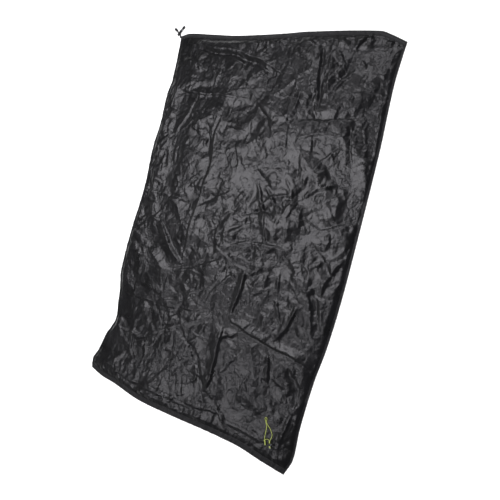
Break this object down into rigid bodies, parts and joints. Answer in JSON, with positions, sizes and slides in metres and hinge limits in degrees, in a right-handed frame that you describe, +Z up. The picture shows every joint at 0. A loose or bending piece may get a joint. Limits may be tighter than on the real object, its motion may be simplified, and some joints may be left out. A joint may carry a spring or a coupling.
{
  "type": "camp quilt",
  "caption": "Rectangular insulated camp quilt with bound edges, a drawcord channel and toggle at the head, and an eyelet, drawcord and toggle near the foot.",
  "frame": {"origin": "middle of the underside: centre of the quilt's own bounding box in plan, on the ground it lies on (the free cords and toggles are left out)", "axes": "+Z up, +Y towards the head hem with the drawcord channel, +X towards the long side that the foot drawcord leaves near"},
  "size_m": [1.4143, 1.9757, 0.0192],
  "materials": {
    "shell_nylon": "crinkled light woven nylon with a soft satin sheen",
    "lining_nylon": "crinkled light woven nylon, dark olive brown",
    "batt_fill": "lofted polyester fibre batt",
    "edge_tape": "folded woven tape, matt",
    "lime_cord": "braided cord, matt",
    "black_cord": "braided elastic cord, matt",
    "stitching": "dense polyester stitches",
    "moulded_black": "moulded nylon, fine grain",
    "spring_steel": "drawn bright spring wire",
    "eyelet_metal": "pressed, gunmetal plated"
  },
  "bodies": {
    "quilt": {"outer_shell": "shell_nylon", "lining_shell": "lining_nylon", "insulation_batt": "batt_fill", "head_channel": "edge_tape", "foot_hem": "edge_tape", "left_binding": "edge_tape", "right_binding": "edge_tape", "foot_casing": "edge_tape", "foot_eyelet": "eyelet_metal", "foot_eyelet_washer": "eyelet_metal", "foot_drawcord_left": "lime_cord", "foot_drawcord_right": "lime_cord", "foot_cord_long": "lime_cord", "foot_cord_short": "lime_cord", "foot_cord_knot": "lime_cord", "head_drawcord": "black_cord", "head_drawcord_return": "black_cord", "head_cord_out": "black_cord", "head_cord_back": "black_cord", "cord_end_lower": "moulded_black", "cord_end_upper": "moulded_black", "head_tack_left": "stitching", "head_tack_right": "stitching", "foot_tack_left": "stitching", "foot_tack_right": "stitching"},
    "foot_lock": {"foot_lock_body": "moulded_black", "foot_lock_spring": "spring_steel"},
    "foot_plunger": {"foot_lock_plunger": "moulded_black"},
    "head_lock": {"head_lock_body": "moulded_black", "head_lock_spring": "spring_steel"},
    "head_plunger": {"head_lock_plunger": "moulded_black"}
  },
  "joints": [
    {"name": "foot_lock_slide", "type": "slide", "parent": "quilt", "child": "foot_lock", "axis": [-0.3305, 0.9438, 0], "range_m": [0, 0.008]},
    {"name": "foot_plunger_press", "type": "slide", "parent": "foot_lock", "child": "foot_plunger", "axis": [-0.9438, -0.3305, 0], "range_m": [0, 0.003], "stiffness_N_per_m": 800, "springref_m": -0.002, "deforming": ["foot_lock_spring"]},
    {"name": "head_lock_slide", "type": "slide", "parent": "quilt", "child": "head_lock", "axis": [-0.8329, 0.5534, 0], "range_m": [0, 0.011]},
    {"name": "head_plunger_press", "type": "slide", "parent": "head_lock", "child": "head_plunger", "axis": [-0.5534, -0.8329, 0], "range_m": [0, 0.004], "stiffness_N_per_m": 800, "springref_m": -0.002, "deforming": ["head_lock_spring"]}
  ]
}
